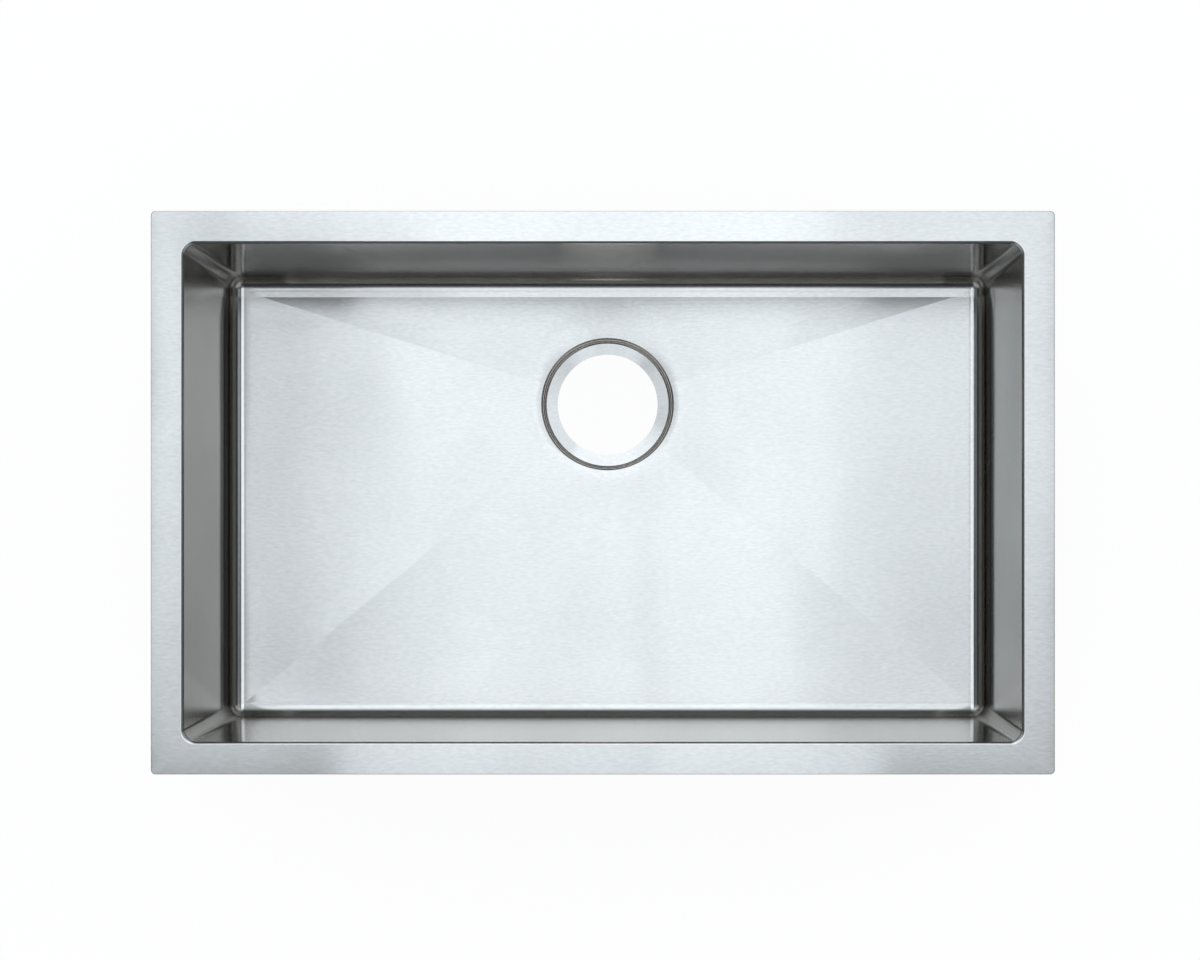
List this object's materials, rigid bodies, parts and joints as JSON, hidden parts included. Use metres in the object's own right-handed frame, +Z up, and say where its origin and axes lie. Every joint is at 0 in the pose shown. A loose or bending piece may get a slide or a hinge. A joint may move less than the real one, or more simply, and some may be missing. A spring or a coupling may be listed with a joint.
{
  "type": "undermount kitchen sink",
  "caption": "Undermount single-bowl kitchen sink in brushed stainless steel, with a flat rim, a floor creased to a recessed drain, sound pads and swivelling mounting clips.",
  "frame": {"origin": "under the middle of the rim, level with the underside of the drain seat", "axes": "+X to the user's right, +Y to the back where the drain is, +Z up out of the bowl"},
  "size_m": [0.762, 0.475, 0.2373],
  "materials": {
    "brushed_stainless": "satin, fine grain along the length; the outside of the bowl has a sprayed grey undercoat",
    "clip_steel": "plain stamped stainless",
    "plated_steel": "bright zinc plate",
    "nylon": "natural white nylon",
    "pad_rubber": "matt black butyl rubber"
  },
  "bodies": {
    "sink": {"bowl": "brushed_stainless", "rim_frame": "brushed_stainless", "floor_pad_left": "pad_rubber", "floor_pad_right": "pad_rubber", "floor_pad_front": "pad_rubber", "wall_pad_front": "pad_rubber", "wall_pad_back": "pad_rubber", "wall_pad_left": "pad_rubber", "wall_pad_right": "pad_rubber", "clip_studs": "plated_steel", "clip_washers": "plated_steel", "clip_lock_nuts": "plated_steel", "lock_nut_rings": "nylon"},
    "clip_front_left": {"clip_front_left": "clip_steel"},
    "clip_front_middle": {"clip_front_middle": "clip_steel"},
    "clip_front_right": {"clip_front_right": "clip_steel"},
    "clip_back_left": {"clip_back_left": "clip_steel"},
    "clip_back_middle": {"clip_back_middle": "clip_steel"},
    "clip_back_right": {"clip_back_right": "clip_steel"},
    "clip_left": {"clip_left": "clip_steel"},
    "clip_right": {"clip_right": "clip_steel"}
  },
  "joints": [
    {"name": "clip_front_left_swivel", "type": "hinge", "parent": "sink", "child": "clip_front_left", "pos_m": [-0.266, -0.2245, 0.23464], "axis": [0, 0, 1], "range_deg": [0, 90]},
    {"name": "clip_front_middle_swivel", "type": "hinge", "parent": "sink", "child": "clip_front_middle", "pos_m": [0, -0.2245, 0.23464], "axis": [0, 0, 1], "range_deg": [0, 90]},
    {"name": "clip_front_right_swivel", "type": "hinge", "parent": "sink", "child": "clip_front_right", "pos_m": [0.266, -0.2245, 0.23464], "axis": [0, 0, 1], "range_deg": [0, 90]},
    {"name": "clip_back_left_swivel", "type": "hinge", "parent": "sink", "child": "clip_back_left", "pos_m": [-0.266, 0.2245, 0.23464], "axis": [0, 0, 1], "range_deg": [0, 90]},
    {"name": "clip_back_middle_swivel", "type": "hinge", "parent": "sink", "child": "clip_back_middle", "pos_m": [0, 0.2245, 0.23464], "axis": [0, 0, 1], "range_deg": [0, 90]},
    {"name": "clip_back_right_swivel", "type": "hinge", "parent": "sink", "child": "clip_back_right", "pos_m": [0.266, 0.2245, 0.23464], "axis": [0, 0, 1], "range_deg": [0, 90]},
    {"name": "clip_left_swivel", "type": "hinge", "parent": "sink", "child": "clip_left", "pos_m": [-0.368, 0, 0.23464], "axis": [0, 0, 1], "range_deg": [0, 90]},
    {"name": "clip_right_swivel", "type": "hinge", "parent": "sink", "child": "clip_right", "pos_m": [0.368, 0, 0.23464], "axis": [0, 0, 1], "range_deg": [0, 90]}
  ]
}
